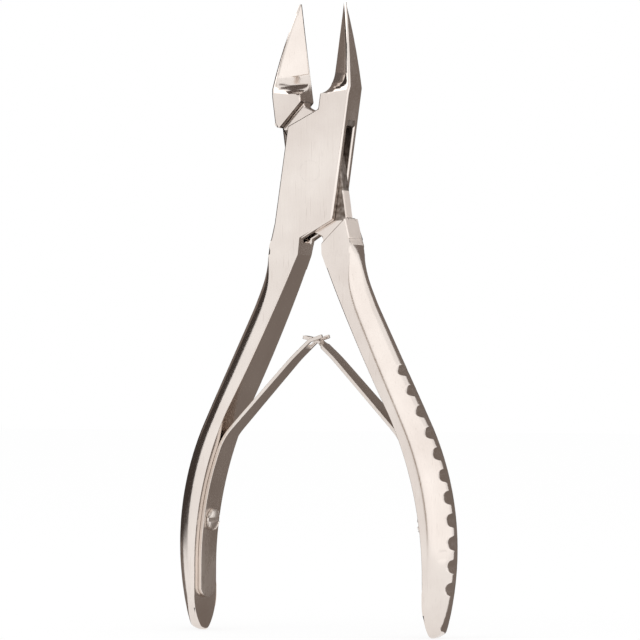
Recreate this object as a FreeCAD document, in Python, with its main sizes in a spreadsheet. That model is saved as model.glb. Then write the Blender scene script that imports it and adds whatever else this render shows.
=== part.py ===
import FreeCAD, Part
import math
import os
import re
import Sketcher
from FreeCAD import Placement, Rotation, Vector

# Bone cutting forceps with a box joint, ribbed handles and two leaf springs, at rest with its jaws open.
# X runs across the tool, Z up to the jaw tips, and Y from the front to the back. The joint's axis lies
# on the Y axis, and the joint's back face is the plane Y = 0. Each half is drawn with its jaw closed on
# the plane X = 0 and is then turned open about the joint. Lengths are millimetres, angles degrees.

SIZES = {
    # joint
    "joint_depth": 7.0,
    "half_opening": 8.0,
    "meeting_gap": 0.05,
    "tongue_depth": 3.4,
    "tongue_play": 0.05,
    "pin_diameter": 5.0,
    "pin_wall_play": 0.01,
    "pin_tongue_play": 0.04,
    # box walls of the right half
    "wall_width": 7.2,
    "wall_top_middle": 14.4,
    "wall_top_drop": 4.8,
    "wall_foot_middle": 15.6,
    "wall_foot_rise": 5.2,
    "wall_foot_flare": 0.25,
    "wall_foot_edge": 2.5,
    # slot through the box
    "slot_roof_middle": 15.5,
    "slot_roof_drop": 4.3,
    "slot_floor_middle": 16.5,
    "slot_floor_rise": 4.5,
    # tongue and shoulders of the left half
    "tongue_left": 6.6,
    "tongue_right": 7.0,
    "tongue_root_overlap": 1.0,
    "tongue_end_middle": 15.1,
    "tongue_end_drop": 4.7,
    "shoulder_top_middle": 16.3,
    "shoulder_top_drop": 5.7,
    "shoulder_round": 1.0,
    "shoulder_edge": 1.9,
    "shoulder_foot_gap": 0.65,
    "shoulder_side": 7.4,
    "shoulder_foot_middle": 17.2,
    "shoulder_foot_rise": 5.2,
    # jaws
    "jaw_tip_height": 39.65,
    "jaw_tip_width": 0.45,
    "jaw_widest_height": 20.4,
    "jaw_widest": 7.33,
    "jaw_side_radius": 150.0,
    "taper_start_height": 18.5,
    "taper_radius": 147.0,
    "tip_depth": 0.5,
    "edge_land": 0.45,
    "bevel_angle": 45.0,
    "bevel_run_out_radius": 5.5,
    "bevel_run_out_height": 23.4,
    # inner face of the handles
    "spine_offset": 5.6,
    "spine_angle": 18.0,
    "spine_straight": 58.9,
    "spine_bend_radius": 83.0,
    "spine_bend_angle": 26.0,
    "belly_radius": 440.0,
    "face_stock": 0.9,
    # crest of the handles
    "crest_offset": 0.33,
    "crest_straight": 64.15,
    "crest_radius": 65.0,
    # sections of the handles, named from the joint down
    "root_run": 18.5,
    "root_thick": 7.9,
    "root_crown": 0.2,
    "neck_run": 22.0,
    "neck_thick": 7.4,
    "neck_width": 7.6,
    "neck_crown": 0.8,
    "waist_run": 28.0,
    "waist_thick": 6.35,
    "waist_width": 8.4,
    "waist_crown": 2.3,
    "grip_run": 34.0,
    "grip_width": 9.0,
    "grip_crown": 2.6,
    "middle_run": 46.0,
    "middle_width": 10.1,
    "middle_crown": 2.65,
    "bend_width": 11.0,
    "bend_crown": 2.7,
    "palm_turn": 13.0,
    "palm_width": 11.2,
    "palm_crown": 3.0,
    "heel_width": 10.9,
    "heel_crown": 3.1,
    "tail_run": 8.0,
    "tail_width": 10.8,
    "tail_crown": 2.9,
    "end_run": 14.35,
    "end_width": 10.7,
    "end_crown": 1.9,
    # rounded ends of the handles
    "end_round_height": 8.7,
    "end_round_tip_radius": 3.2,
    "end_corner_radius": 2.2,
    # grooves across the crest
    "groove_first_run": 50.9,
    "groove_pitch": 5.1,
    "groove_radius": 1.73,
    "groove_floor": 0.79,
    # spring screws
    "screw_turn": 18.0,
    "screw_head_diameter": 5.0,
    "screw_head_height": 1.15,
    "screw_head_edge": 0.25,
    "screw_seat_play": 0.02,
    "screw_slot_width": 0.85,
    "screw_slot_depth": 0.6,
    "screw_shank_diameter": 2.4,
    "screw_shank_length": 3.0,
    "screw_shank_taper": 0.3,
    "screw_hole_play": 0.05,
    "screw_hole_bottom": 0.3,
    # leaf springs, named from their screwed end up to the crossing
    "leaf_thick": 0.8,
    "leaf_seat_play": 0.02,
    "leaf_tail_run": 6.8,
    "leaf_tail_round": 3.9,
    "leaf_lift_turn": 6.4,
    "leaf_lift_radius": 14.5,
    "leaf_lift_angle": 24.3,
    "leaf_lower_length": 21.2,
    "leaf_elbow_radius": 35.0,
    "leaf_elbow_angle": 4.4,
    "leaf_upper_length": 4.3,
    "leaf_tip_radius": 2.0,
    "fork_tip_angle": 24.0,
    "fork_tip_length": 3.0,
    "tongue_tip_angle": 30.0,
    "tongue_tip_length": 3.3,
    "leaf_seat_width": 7.0,
    "leaf_seat_top": -72.0,
    "leaf_waist_width": 5.5,
    "leaf_waist_top": -54.0,
    "leaf_tip_width": 4.3,
    "leaf_hole_play": 0.1,
    "fork_slot_width": 2.9,
    "fork_slot_length": 4.6,
    "tongue_width": 2.5,
    "tongue_length": 5.0,
    "tongue_root_radius": 0.9,
    # how far every cutting outline runs past the piece that it cuts
    "past": 3.0,
}
GROOVES = 11

doc = FreeCAD.newDocument("bone_cutting_forceps")
sizes = doc.addObject("Spreadsheet::Sheet", "Sizes")
for row, (alias, number) in enumerate(SIZES.items(), start=1):
    sizes.set(f"A{row}", alias)
    sizes.set(f"B{row}", str(number))
    sizes.setAlias(f"B{row}", alias)
places = doc.addObject("Spreadsheet::Sheet", "Places")
doc.recompute()
known = {alias: "Sizes" for alias in SIZES}


def linked(formula):
    """The formula with every named size joined to the sheet that holds it."""
    def join(match):
        word = match.group()
        return f"{known[word]}.{word}" if word in known else word
    return re.sub(r"[a-z][a-z_0-9]*", join, str(formula))


def place(alias, formula):
    """A worked-out size: a cell of the second sheet that holds a formula."""
    row = len(known) - len(SIZES) + 1
    places.set(f"A{row}", alias)
    places.set(f"B{row}", "=" + linked(formula))
    places.setAlias(f"B{row}", alias)
    known[alias] = "Places"
    places.recompute()
    return alias


def number(formula):
    return float(sizes.evalExpression(linked(formula)))


def tie(thing, path, formula):
    thing.setExpression(path, linked(formula))



def add_sketch(body, name, role, at=("0", "0", "0"), axis=(0, 1, 0), angle=None):
    """An empty sketch on a plane of the body's origin, moved and turned from it by formulas."""
    sketch = body.newObject("Sketcher::SketchObject", name)
    plane = [flat for flat in body.Origin.OriginFeatures if flat.Role == role][0]
    sketch.AttachmentSupport = [(plane, "")]
    sketch.MapMode = "FlatFace"
    sketch.AttachmentOffset = Placement(Vector(), Rotation(Vector(*axis), 30))
    for letter, formula in zip("xyz", at):
        tie(sketch, f"AttachmentOffset.Base.{letter}", formula)
    tie(sketch, "AttachmentOffset.Rotation.Angle", angle or "0")
    return sketch


def arc_between(start, end, radius, turn):
    """The short arc between two points, anticlockwise from start for turn 1 and from end for turn -1."""
    chord = end - start
    left = Vector(-chord.y, chord.x, 0).normalize()
    reach = math.sqrt(max(radius ** 2 - (chord.Length / 2) ** 2, 0))
    centre = (start + end) * 0.5 + left * turn * reach
    first, last = (start, end) if turn > 0 else (end, start)
    angles = [math.atan2(point.y - centre.y, point.x - centre.x) for point in (first, last)]
    return Part.ArcOfCircle(Part.Circle(centre, Vector(0, 0, 1), radius), *angles)


def outline(sketch, corners):
    """A closed outline through corners (x, y) or (x, y, radius, turn), whose side to the next is an arc."""
    points = [Vector(number(corner[0]), number(corner[1]), 0) for corner in corners]
    count = len(corners)
    ends = []
    for place_index, corner in enumerate(corners):
        start, end = points[place_index], points[(place_index + 1) % count]
        if len(corner) == 2:
            side = sketch.addGeometry(Part.LineSegment(start, end), False)
            ends.append((side, 1, 2))
            continue
        side = sketch.addGeometry(arc_between(start, end, number(corner[2]), corner[3]), False)
        ends.append((side, 1, 2) if corner[3] > 0 else (side, 2, 1))
    for place_index, corner in enumerate(corners):
        side, start, end = ends[place_index]
        next_side, next_start, next_end = ends[(place_index + 1) % count]
        sketch.addConstraint(Sketcher.Constraint("Coincident", side, end, next_side, next_start))
    for place_index, corner in enumerate(corners):
        side, start, end = ends[place_index]
        point = points[place_index]
        for kind, formula, value in (("DistanceX", corner[0], point.x), ("DistanceY", corner[1], point.y)):
            rule = sketch.addConstraint(Sketcher.Constraint(kind, -1, 1, side, start, value))
            tie(sketch, f"Constraints[{rule}]", formula)
        if len(corner) > 2:
            rule = sketch.addConstraint(Sketcher.Constraint("Radius", side, number(corner[2])))
            tie(sketch, f"Constraints[{rule}]", corner[2])


def circle(sketch, x, y, radius):
    centre = Vector(number(x), number(y), 0)
    ring = sketch.addGeometry(Part.Circle(centre, Vector(0, 0, 1), number(radius)), False)
    for kind, formula, value in (("DistanceX", x, centre.x), ("DistanceY", y, centre.y)):
        rule = sketch.addConstraint(Sketcher.Constraint(kind, -1, 1, ring, 3, value))
        tie(sketch, f"Constraints[{rule}]", formula)
    rule = sketch.addConstraint(Sketcher.Constraint("Radius", ring, number(radius)))
    tie(sketch, f"Constraints[{rule}]", radius)


def pad(body, name, sketch, length, centred=True, backward=False):
    feature = body.newObject("PartDesign::Pad", name)
    feature.Profile = sketch
    feature.SideType = "Symmetric" if centred else "One side"
    feature.Reversed = backward
    tie(feature, "Length", length)
    doc.recompute()
    return feature


def pocket(body, name, sketch, length=None, centred=True, backward=False):
    feature = body.newObject("PartDesign::Pocket", name)
    feature.Profile = sketch
    feature.SideType = "Symmetric" if centred else "One side"
    feature.Reversed = backward
    if length:
        tie(feature, "Length", length)
    else:
        feature.Type = "ThroughAll"
    doc.recompute()
    return feature


# The inner face of a handle runs straight down and outward and then bends back on one arc. A place on it
# is named by the turn made on the arc and the run beyond it, which is negative above the arc. Both
# handles share these values: side is 1 for the right handle and -1 for the left one.
place("spine_centre_x",
      "-(spine_offset + spine_bend_radius) * cos(spine_angle) + spine_straight * sin(spine_angle)")
place("spine_centre_z",
      "-(spine_offset + spine_bend_radius) * sin(spine_angle) - spine_straight * cos(spine_angle)")
place("crest_centre_x",
      "(crest_offset - crest_radius) * cos(spine_angle) + crest_straight * sin(spine_angle)")
place("crest_centre_z",
      "(crest_offset - crest_radius) * sin(spine_angle) - crest_straight * cos(spine_angle)")
place("crest_thick", "crest_offset + spine_offset")


def spine(turn, run, out="0"):
    """A place by formulas: out is how far it lies outward from the inner face."""
    lean = f"(spine_angle - ({turn}))"
    reach = f"(spine_bend_radius + ({out}))"
    x = f"(spine_centre_x + {reach} * cos({lean}) + ({run}) * sin({lean}))"
    z = f"(spine_centre_z + {reach} * sin({lean}) - ({run}) * cos({lean}))"
    return x, z


def crest_thickness(name, turn, run):
    """How far the crest's arc lies outward from a place on the inner face."""
    lean = f"(spine_angle - ({turn}))"
    x, z = spine(turn, run)
    across = place(f"{name}_crest_across",
                   f"(crest_centre_x - {x}) * cos{lean} + (crest_centre_z - {z}) * sin{lean}")
    along = place(f"{name}_crest_along",
                  f"(crest_centre_x - {x}) * sin{lean} - (crest_centre_z - {z}) * cos{lean}")
    return place(f"{name}_thick", f"{across} + sqrt(crest_radius ^ 2 - {along} ^ 2)")


crest_thickness("palm", "palm_turn", "0")
crest_thickness("heel", "spine_bend_angle", "0")
crest_thickness("tail", "spine_bend_angle", "tail_run")
crest_thickness("end", "spine_bend_angle", "end_run")
place("root_width", "joint_depth")

# name, turn, run and thickness of each section, from the joint down
SECTIONS = [
    ("root", "0", "root_run - spine_straight", "root_thick"),
    ("neck", "0", "neck_run - spine_straight", "neck_thick"),
    ("waist", "0", "waist_run - spine_straight", "waist_thick"),
    ("grip", "0", "grip_run - spine_straight", "crest_thick"),
    ("middle", "0", "middle_run - spine_straight", "crest_thick"),
    ("bend", "0", "0", "crest_thick"),
    ("palm", "palm_turn", "0", "palm_thick"),
    ("heel", "spine_bend_angle", "0", "heel_thick"),
    ("tail", "spine_bend_angle", "tail_run", "tail_thick"),
    ("end", "spine_bend_angle", "end_run", "end_thick"),
]


def face_angle(side, turn):
    """Turn about Y that brings a sketch's X axis to the outward direction of the inner face."""
    lean = f"(spine_angle - ({turn}))"
    return f"360 - {lean}" if side > 0 else f"180 + {lean}"


def handle(body, side):
    """A D-shaped bar through all sections, with stock left on its inner face."""
    sketches = []
    for name, turn, run, thick in SECTIONS:
        x, z = spine(turn, run)
        sketch = add_sketch(body, f"{name}_section", "XY_Plane", (f"{side} * {x}", "0", z),
                            angle=face_angle(side, turn))
        half = f"{name}_width / 2"
        shoulder = f"{thick} - {name}_crown"
        bow = f"({name}_width ^ 2 / 4 + {name}_crown ^ 2) / (2 * {name}_crown)"
        outline(sketch, [("-face_stock", f"-{half}"), (shoulder, f"-{half}", bow, 1), (shoulder, half),
                         ("-face_stock", half)])
        sketches.append(sketch)
    doc.recompute()
    grip = body.newObject("PartDesign::AdditiveLoft", "handle")
    grip.Profile = sketches[0]
    grip.Sections = sketches[1:]
    doc.recompute()
    return grip


def cut_inner_face(body, side):
    """The inner face: a faint belly down to the bend, the bend's arc, and a straight end."""
    sketch = add_sketch(body, "inner_face", "XZ_Plane")
    places_down = [("0", "root_run - spine_straight"), ("0", "0"), ("spine_bend_angle", "0"),
                   ("spine_bend_angle", "end_run + past")]
    bends = [("belly_radius", side), ("spine_bend_radius", -side), (), ()]
    corners = []
    for (turn, run), bend in zip(places_down, bends):
        x, z = spine(turn, run)
        corners.append((f"{side} * {x}", z) + bend)
    for turn, run in places_down[::-3]:
        x, z = spine(turn, run, "-2 * past")
        corners.append((f"{side} * {x}", z))
    outline(sketch, corners)
    pocket(body, "inner_face_cut", sketch)


place("end_side_radius", "(heel_width ^ 2 / 4 - end_round_tip_radius ^ 2"
      " + (end_round_height - end_round_tip_radius) ^ 2) / (heel_width - 2 * end_round_tip_radius)")
place("end_touch_share", "end_round_tip_radius / (end_side_radius - end_round_tip_radius)")
place("end_touch_width", "(end_side_radius - heel_width / 2) * end_touch_share")
place("end_touch_height", "(end_round_height - end_round_tip_radius) * (1 + end_touch_share)")
place("end_corner_centre", "heel_crest_across + sqrt((crest_radius - end_corner_radius) ^ 2"
      " - (end_run - end_corner_radius - heel_crest_along) ^ 2)")
place("end_corner_share", "end_corner_radius / (crest_radius - end_corner_radius)")
place("end_corner_out", "end_corner_centre + (end_corner_centre - heel_crest_across) * end_corner_share")
place("end_corner_down", "(end_run - end_corner_radius)"
      " + (end_run - end_corner_radius - heel_crest_along) * end_corner_share")


def round_handle_end(body, side):
    """The end is rounded seen from the front's right angle, by three arcs, and over its crest corner."""
    x, z = spine("spine_bend_angle", "0")
    # local X is the tool's depth and local Y runs up the handle, after a turn about Y
    lean = "(spine_angle - spine_bend_angle)"
    arch = add_sketch(body, "end_arch", "YZ_Plane", ("0", z, f"{side} * {x}"), axis=(1, 0, 0),
                      angle=f"360 - {side} * {lean}")
    half = "heel_width / 2"
    start = "end_round_height - end_run"
    below = "-end_run - past"
    touch = f"{start} - end_touch_height"
    outline(arch, [
        (f"-{half}", start, "end_side_radius", 1),
        ("-end_touch_width", touch, "end_round_tip_radius", 1),
        ("end_touch_width", touch, "end_side_radius", 1),
        (half, start),
        (f"{half} + past", start),
        (f"{half} + past", below),
        (f"-{half} - past", below),
        (f"-{half} - past", start),
    ])
    pocket(body, "end_arch_cut", arch)
    corner = add_sketch(body, "end_corner", "XZ_Plane", (f"{side} * {x}", z, "0"), axis=(0, 0, 1),
                        angle=f"360 + {side} * {lean}")
    outline(corner, [
        (f"{side} * end_corner_out", "-end_corner_down", "end_corner_radius", -side),
        (f"{side} * end_corner_centre", "-end_run"),
        (f"{side} * end_corner_centre", "-end_run - past"),
        (f"{side} * (end_corner_out + 2 * past)", "-end_run - past"),
        (f"{side} * (end_corner_out + 2 * past)", "-end_corner_down"),
    ])
    pocket(body, "end_corner_cut", corner)


def groove_crest(body, side):
    """Grooves ground straight across the crest, at an even pitch along it."""
    sketch = add_sketch(body, "grooves", "XZ_Plane")
    for count in range(GROOVES):
        over = f"(groove_first_run + {count} * groove_pitch - crest_straight)"
        lean = f"(spine_angle - max({over}; 0) / crest_radius * 180 / pi)"
        reach = "(crest_radius + groove_radius - groove_floor)"
        x = f"crest_centre_x + {reach} * cos{lean} + min({over}; 0) * sin(spine_angle)"
        z = f"crest_centre_z + {reach} * sin{lean} - min({over}; 0) * cos(spine_angle)"
        circle(sketch, f"{side} * ({x})", z, "groove_radius")
    pocket(body, "groove_cuts", sketch)


def new_half(label, side):
    """An empty body that is drawn closed and turned open; side is that of its handle."""
    body = doc.addObject("PartDesign::Body", label)
    body.Label = label
    body.Placement = Placement(Vector(0, -1, 0), Rotation(Vector(0, 1, 0), 352 if side > 0 else 8))
    tie(body, "Placement.Base.y", "-joint_depth / 2")
    tie(body, "Placement.Rotation.Angle", "360 - half_opening" if side > 0 else "half_opening")
    return body


def jaw_outline(side):
    """The jaw's inner and outer edges, from the meeting face at the tip to its widest place."""
    inner = (f"{side} * meeting_gap", "jaw_tip_height")
    outer = (f"{side} * (meeting_gap + jaw_tip_width)", "jaw_tip_height")
    widest = (f"{side} * jaw_widest", "jaw_widest_height")
    return inner, outer, widest


def grind_jaw(body, side):
    """The jaw tapers from the front to its tip and is bevelled to a cutting edge near its back face."""
    taper = add_sketch(body, "front_taper", "YZ_Plane")
    front = "-joint_depth / 2"
    outline(taper, [
        (front, "taper_start_height", "taper_radius", -1),
        ("joint_depth / 2 - tip_depth", "jaw_tip_height"),
        ("joint_depth / 2 - tip_depth", "jaw_tip_height + past"),
        (f"{front} - past", "jaw_tip_height + past"),
        (f"{front} - past", "taper_start_height"),
    ])
    pocket(body, "front_taper_cut", taper)
    bevel = add_sketch(body, "edge_bevel", "YZ_Plane", axis=(0, 1, 0),
                       angle=f"360 - {side} * bevel_angle")
    edge = "(meeting_gap * sin(bevel_angle) + (joint_depth / 2 - edge_land) * cos(bevel_angle))"
    run_out = f"{edge} - bevel_run_out_radius"
    foot = "bevel_run_out_height - bevel_run_out_radius"
    outline(bevel, [
        (edge, "jaw_tip_height + past"),
        (edge, "bevel_run_out_height", "bevel_run_out_radius", -1),
        (run_out, foot),
        (f"{run_out} - joint_depth", foot),
        (f"{run_out} - joint_depth", "jaw_tip_height + past"),
    ])
    pocket(body, "edge_bevel_cut", bevel)


def bore(body, play):
    hole = add_sketch(body, "pin_hole", "XZ_Plane")
    circle(hole, "0", "0", f"pin_diameter / 2 + {play}")
    pocket(body, "pin_bore", hole)


def screw_hole(body, side):
    """The blind hole that holds a spring screw's shank."""
    x, z = spine("screw_turn", "0")
    sketch = add_sketch(body, "screw_hole", "XY_Plane", (f"{side} * {x}", "0", z), axis=(0, 1, 0),
                        angle=f"450 - (spine_angle - screw_turn)" if side > 0
                        else "270 + (spine_angle - screw_turn)")
    circle(sketch, "0", "0", "screw_shank_diameter / 2 + screw_hole_play")
    pocket(body, "screw_bore", sketch, "2 * (screw_shank_length - leaf_thick + screw_hole_bottom)")


def root_corners(side):
    """The two ends of the handle's first section, crest first."""
    crest = spine("0", "root_run - spine_straight", "root_thick")
    inner = spine("0", "root_run - spine_straight")
    return (f"{side} * {crest[0]}", crest[1]), (f"{side} * {inner[0]}", inner[1])


def make_right_jaw_half():
    """Right jaw, slotted box and left handle, in one forging."""
    body = new_half("right_jaw_half", -1)
    inner, outer, widest = jaw_outline(1)
    crest, face = root_corners(-1)
    blank = add_sketch(body, "blank", "XZ_Plane")
    outline(blank, [
        inner,
        ("meeting_gap", "wall_top_middle"),
        ("-wall_width", "wall_top_middle - wall_top_drop"),
        ("-wall_width - wall_foot_flare", "-(wall_foot_middle - wall_foot_rise) - wall_foot_edge"),
        crest,
        face,
        ("-meeting_gap", "-wall_foot_middle"),
        ("wall_width", "-(wall_foot_middle - wall_foot_rise)"),
        widest + ("jaw_side_radius", 1),
        outer,
    ])
    pad(body, "blank_pad", blank, "joint_depth")
    slot = add_sketch(body, "slot", "XZ_Plane")
    roof_slope = "slot_roof_drop / wall_width"
    floor_slope = "slot_floor_rise / wall_width"
    reach = "(wall_width + past)"
    outline(slot, [
        (reach, f"slot_roof_middle - {reach} * {roof_slope}"),
        (f"-{reach}", f"slot_roof_middle + {reach} * {roof_slope}"),
        (f"-{reach}", f"-slot_floor_middle + {reach} * {floor_slope}"),
        (reach, f"-slot_floor_middle - {reach} * {floor_slope}"),
    ])
    pocket(body, "slot_cut", slot, "tongue_depth + 2 * tongue_play")
    handle(body, -1)
    cut_inner_face(body, -1)
    round_handle_end(body, -1)
    groove_crest(body, -1)
    grind_jaw(body, 1)
    bore(body, "pin_wall_play")
    screw_hole(body, -1)
    return body


def make_left_jaw_half():
    """Left jaw, tongue and right handle, in one forging."""
    body = new_half("left_jaw_half", 1)
    inner, outer, widest = jaw_outline(-1)
    crest, face = root_corners(1)
    top_slope = "(shoulder_top_drop / wall_width)"
    foot_slope = "(shoulder_foot_rise / wall_width)"
    jaw = add_sketch(body, "jaw", "XZ_Plane")
    outline(jaw, [
        inner,
        outer + ("jaw_side_radius", 1),
        widest,
        ("-shoulder_side", "shoulder_top_middle - shoulder_top_drop + shoulder_edge",
         "shoulder_round * 1.2", 1),
        ("-shoulder_side + shoulder_round",
         f"shoulder_top_middle - (shoulder_side - shoulder_round) * {top_slope}"),
        ("-meeting_gap", "shoulder_top_middle"),
    ])
    pad(body, "jaw_pad", jaw, "joint_depth")
    tongue = add_sketch(body, "tongue", "XZ_Plane")
    tongue_slope = "(tongue_end_drop / tongue_right)"
    foot = "-tongue_end_middle"
    overlap = "tongue_root_overlap"
    outline(tongue, [
        ("-meeting_gap", f"shoulder_top_middle + {overlap}"),
        ("-meeting_gap", "tongue_end_middle"),
        ("tongue_right", f"tongue_end_middle - tongue_right * {tongue_slope}"),
        ("tongue_right", f"-shoulder_foot_middle + tongue_right * {foot_slope} - {overlap}"),
        ("shoulder_foot_gap", f"-shoulder_foot_middle - {overlap}"),
        ("meeting_gap", foot),
        ("-tongue_left", f"{foot} + tongue_left * {tongue_slope}"),
        ("-tongue_left", f"shoulder_top_middle - tongue_left * {top_slope} + 2 * {overlap}"),
    ])
    pad(body, "tongue_pad", tongue, "tongue_depth")
    root = add_sketch(body, "root", "XZ_Plane")
    outline(root, [
        crest,
        face,
        ("shoulder_foot_gap", f"-shoulder_foot_middle + shoulder_foot_gap * {foot_slope}"),
        ("shoulder_side", f"-shoulder_foot_middle + shoulder_side * {foot_slope}"),
    ])
    pad(body, "root_pad", root, "joint_depth")
    handle(body, 1)
    cut_inner_face(body, 1)
    round_handle_end(body, 1)
    groove_crest(body, 1)
    grind_jaw(body, -1)
    bore(body, "pin_tongue_play")
    screw_hole(body, 1)
    return body


def make_joint_pin():
    body = doc.addObject("PartDesign::Body", "joint_pin")
    body.Label = "joint_pin"
    tie(body, "Placement.Base.y", "-joint_depth / 2")
    disc = add_sketch(body, "disc", "XZ_Plane")
    circle(disc, "0", "0", "pin_diameter / 2")
    pad(body, "shank", disc, "joint_depth")
    return body


# The flat underside of a screw's head bridges the hollow of its leaf, so it sits higher by the hollow.
place("screw_seat_height", "leaf_thick + leaf_seat_play + screw_seat_play"
      " + screw_head_diameter ^ 2 / (8 * (spine_bend_radius - leaf_thick))")


def open_spine(side, turn, run, out="0"):
    """A place at the inner face of an opened handle; out is how far it lies outward from it."""
    x, z = spine(turn, run, out)
    opened_x = f"{side} * ({x} * cos(half_opening) - {z} * sin(half_opening))"
    opened_z = f"({x} * sin(half_opening) + {z} * cos(half_opening))"
    return opened_x, opened_z


def make_spring_screw(label, side):
    """A turned cheese-head screw, drawn along Z with the underside of its head on Z = 0."""
    body = doc.addObject("PartDesign::Body", label)
    body.Label = label
    body.Placement = Placement(Vector(0, -1, 0), Rotation(Vector(0, 1, 0), 30))
    x, z = open_spine(side, "screw_turn", "0", "-screw_seat_height")
    tie(body, "Placement.Base.x", x)
    tie(body, "Placement.Base.y", "-joint_depth / 2")
    tie(body, "Placement.Base.z", z)
    lean = "(spine_angle + half_opening - screw_turn)"
    tie(body, "Placement.Rotation.Angle", f"270 - {lean}" if side > 0 else f"90 + {lean}")
    head = "screw_head_diameter / 2"
    shank = "screw_shank_diameter / 2"
    profile = add_sketch(body, "profile", "XZ_Plane")
    outline(profile, [
        ("0", "-screw_shank_length"),
        (f"{shank} - screw_shank_taper", "-screw_shank_length"),
        (shank, "screw_shank_taper - screw_shank_length"),
        (shank, "0"),
        (head, "0"),
        (head, "screw_head_height - screw_head_edge"),
        (f"{head} - screw_head_edge", "screw_head_height"),
        ("0", "screw_head_height"),
    ])
    turned = body.newObject("PartDesign::Revolution", "turned")
    turned.Profile = profile
    turned.ReferenceAxis = (profile, ["V_Axis"])
    turned.Angle = 360
    doc.recompute()
    slot = add_sketch(body, "slot", "XZ_Plane")
    half = "screw_slot_width / 2"
    floor = "screw_head_height - screw_slot_depth"
    outline(slot, [
        (f"-{half}", floor),
        (half, floor),
        (half, "screw_head_height + past"),
        (f"-{half}", "screw_head_height + past"),
    ])
    pocket(body, "slot_cut", slot)
    return body


def leaf_path(name, tip_angle, tip_length):
    """Joints of the right leaf's outer face, from its tail up, each as (x, z, lean of the face)."""
    half = "half_opening"
    play = "-leaf_seat_play"
    joints = []
    for label, turn, run in (("tail", "spine_bend_angle", "leaf_tail_run"), ("heel", "spine_bend_angle", "0"),
                             ("lift", "leaf_lift_turn", "0")):
        x, z = open_spine(1, turn, run, play)
        joints.append((place(f"{name}_{label}_x", x), place(f"{name}_{label}_z", z),
                       place(f"{name}_{label}_lean", f"spine_angle + {half} - {turn}")))
    stretches = [("lower", "leaf_lift_radius", "leaf_lift_angle", "leaf_lower_length"),
                 ("upper", "leaf_elbow_radius", "leaf_elbow_angle", "leaf_upper_length"),
                 ("tip", "leaf_tip_radius", tip_angle, tip_length)]
    for label, radius, angle, length in stretches:
        x, z, lean = joints[-1]
        after = place(f"{name}_{label}_lean", f"{lean} + {angle}")
        bent_x = place(f"{name}_{label}_bent_x", f"{x} + {radius} * (cos({after}) - cos({lean}))")
        bent_z = place(f"{name}_{label}_bent_z", f"{z} + {radius} * (sin({after}) - sin({lean}))")
        joints.append((bent_x, bent_z, after))
        joints.append((place(f"{name}_{label}_x", f"{bent_x} - {length} * sin({after})"),
                       place(f"{name}_{label}_z", f"{bent_z} + {length} * cos({after})"), after))
    return joints


def cut_leaf_end(body, side, end, last):
    """The fork's slot, or the shoulders on both sides of the tongue that lies in it."""
    cut = add_sketch(body, "end_cut", "XY_Plane", ("0", "0", last[1]))
    ahead = f"{side} * ({last[0]} - past)"
    if end == "fork":
        back = f"{side} * ({last[0]} + fork_slot_length)"
        outline(cut, [
            (ahead, "fork_slot_width / 2"),
            (ahead, "-fork_slot_width / 2"),
            (back, "-fork_slot_width / 2"),
            (back, "fork_slot_width / 2"),
        ])
    else:
        foot = f"{side} * ({last[0]} + tongue_length - tongue_root_radius)"
        back = f"{side} * ({last[0]} + tongue_length)"
        for edge in (-1, 1):
            outline(cut, [
                (ahead, f"{edge} * tongue_width / 2"),
                (foot, f"{edge} * tongue_width / 2", "tongue_root_radius", side * edge),
                (back, f"{edge} * (tongue_width / 2 + tongue_root_radius)"),
                (back, f"{edge} * leaf_seat_width"),
                (ahead, f"{edge} * leaf_seat_width"),
            ])
    pocket(body, "end_cut_through", cut, "4 * past")


def make_leaf_spring(label, side, end, tip_angle, tip_length):
    """A bent strip that lies on its handle, leaves it, and crosses the other strip at its end."""
    body = doc.addObject("PartDesign::Body", label)
    body.Label = label
    tie(body, "Placement.Base.y", "-joint_depth / 2")
    joints = leaf_path(end, tip_angle, tip_length)
    radii = [None, "spine_bend_radius - leaf_seat_play", "leaf_lift_radius", None,
             "leaf_elbow_radius", None, "leaf_tip_radius", None]
    strip = add_sketch(body, "strip", "XZ_Plane")
    outer = []
    inner = []
    for (x, z, lean), radius in zip(joints, radii + [None]):
        outer.append((f"{side} * {x}", z) + ((radius, side) if radius else ()))
    for (x, z, lean), radius in zip(joints, [None] + radii):
        inner.append((f"{side} * ({x} - leaf_thick * cos({lean}))", f"{z} - leaf_thick * sin({lean})")
                     + ((f"{radius} - leaf_thick", -side) if radius else ()))
    outline(strip, outer + inner[::-1])
    pad(body, "strip_pad", strip, "leaf_seat_width")
    sides = add_sketch(body, "sides", "YZ_Plane")
    tip = joints[-1][1]
    for edge in (-1, 1):
        wide = f"{edge} * leaf_seat_width"
        outline(sides, [
            (f"{wide} / 2", "leaf_seat_top"),
            (f"{edge} * leaf_waist_width / 2", "leaf_waist_top"),
            (f"{edge} * leaf_tip_width / 2", f"{tip} + leaf_thick"),
            (wide, f"{tip} + leaf_thick"),
            (wide, "leaf_seat_top"),
        ])
    pocket(body, "sides_cut", sides)
    tail = add_sketch(body, "tail_round", "YZ_Plane")
    start = (f"{joints[0][1]} + leaf_tail_round"
             " - sqrt(leaf_tail_round ^ 2 - leaf_seat_width ^ 2 / 4)")
    outline(tail, [
        ("-leaf_seat_width / 2", start, "leaf_tail_round", 1),
        ("leaf_seat_width / 2", start),
        ("leaf_seat_width", start),
        ("leaf_seat_width", f"{joints[0][1]} - past"),
        ("-leaf_seat_width", f"{joints[0][1]} - past"),
        ("-leaf_seat_width", start),
    ])
    pocket(body, "tail_round_cut", tail)
    x, z = open_spine(side, "screw_turn", "0")
    hole = add_sketch(body, "screw_hole", "XY_Plane", (x, "0", z),
                      angle="450 - (spine_angle + half_opening - screw_turn)" if side > 0
                      else "270 + (spine_angle + half_opening - screw_turn)")
    circle(hole, "0", "0", "screw_shank_diameter / 2 + leaf_hole_play")
    pocket(body, "screw_hole_cut", hole, "4 * leaf_thick")
    cut_leaf_end(body, side, end, joints[-1])
    return body


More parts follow.
